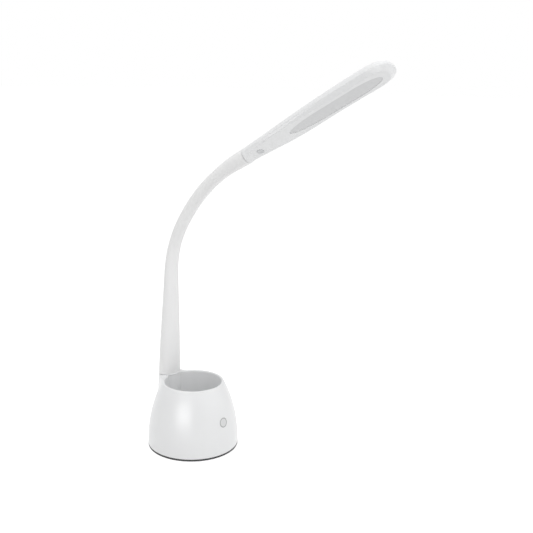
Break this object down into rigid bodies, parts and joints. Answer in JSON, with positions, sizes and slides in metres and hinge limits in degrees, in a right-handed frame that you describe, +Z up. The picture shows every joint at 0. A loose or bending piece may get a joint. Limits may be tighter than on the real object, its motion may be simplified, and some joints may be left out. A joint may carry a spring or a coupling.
{
  "type": "gooseneck desk lamp",
  "caption": "Desk lamp with a bell-shaped pen cup base, a tapered gooseneck and a slim paddle-shaped head with a pointed diffuser underneath.",
  "frame": {"origin": "centre of the flat underside of the foot pad", "axes": "+Z up, -Y towards the front where the touch button is and the head reaches, arm at the back (+Y), +X to the right seen from the front"},
  "size_m": [0.1206, 0.3457, 0.5044],
  "materials": {
    "pad_rubber": "matte",
    "black_plastic": "matte",
    "white_plastic": "satin",
    "sleeve_white": "satin",
    "diffuser_plastic": "matte",
    "button_grey": "matte",
    "steel": "brushed",
    "iron": "rough",
    "aluminium": "satin",
    "board_green": "satin",
    "chip_yellow": "satin"
  },
  "bodies": {
    "base": {"foot_pad": "pad_rubber", "bottom_cover": "black_plastic", "cover_screws": "steel", "counterweight": "iron", "base_shell": "white_plastic", "pen_cup": "white_plastic", "touch_button": "white_plastic", "touch_board": "board_green", "board_spacers": "white_plastic", "driver_board": "board_green", "inlet_jack": "black_plastic", "arm_socket": "steel", "arm_washer": "steel", "arm_nut": "steel", "arm_lead": "black_plastic", "sleeve_foot": "sleeve_white", "core_foot": "steel", "sleeve_flex_side": "sleeve_white", "core_flex_side": "steel"},
    "arm_low": {"sleeve_low": "sleeve_white", "core_low": "steel", "sleeve_flex_low": "sleeve_white", "core_flex_low": "steel"},
    "arm_mid": {"sleeve_mid": "sleeve_white", "core_mid": "steel", "sleeve_flex_mid": "sleeve_white", "core_flex_mid": "steel"},
    "arm_high": {"sleeve_high": "sleeve_white", "core_high": "steel", "sleeve_flex_high": "sleeve_white", "core_flex_high": "steel"},
    "arm_end": {"sleeve_end": "sleeve_white", "core_end": "steel", "neck_ring": "black_plastic"},
    "head": {"head_top_shell": "white_plastic", "head_bottom_shell": "white_plastic", "diffuser": "diffuser_plastic", "led_board": "aluminium", "led_chips": "chip_yellow", "heat_spreader": "aluminium", "head_screws": "steel", "neck_bush": "white_plastic", "switch_board": "board_green", "head_lead": "black_plastic"},
    "head_button": {"head_button": "button_grey"}
  },
  "joints": [
    {"name": "arm_side_bend", "type": "hinge", "parent": "base", "child": "arm_low", "pos_m": [0, 0.04199, 0.20863], "axis": [0, 1, 0], "range_deg": [-20, 20], "deforming": ["sleeve_flex_side", "core_flex_side"]},
    {"name": "arm_bend_low", "type": "hinge", "parent": "arm_low", "child": "arm_mid", "pos_m": [0, 0.03299, 0.27213], "axis": [1, 0, 0], "range_deg": [-15, 15], "deforming": ["sleeve_flex_low", "core_flex_low"]},
    {"name": "arm_bend_mid", "type": "hinge", "parent": "arm_mid", "child": "arm_high", "pos_m": [0, 0.00277, 0.32253], "axis": [1, 0, 0], "range_deg": [-20, 20], "deforming": ["sleeve_flex_mid", "core_flex_mid"]},
    {"name": "arm_bend_high", "type": "hinge", "parent": "arm_high", "child": "arm_end", "pos_m": [0, -0.05314, 0.37355], "axis": [1, 0, 0], "range_deg": [-30, 30], "deforming": ["sleeve_flex_high", "core_flex_high"]},
    {"name": "head_turn", "type": "hinge", "parent": "arm_end", "child": "head", "pos_m": [0, -0.09138, 0.39527], "axis": [0, -0.8805, 0.4741], "range_deg": [-40, 90]},
    {"name": "head_button_press", "type": "slide", "parent": "head", "child": "head_button", "axis": [0.4226, 0.4297, 0.798], "range_m": [0, 0.0006], "stiffness_N_per_m": 800}
  ]
}
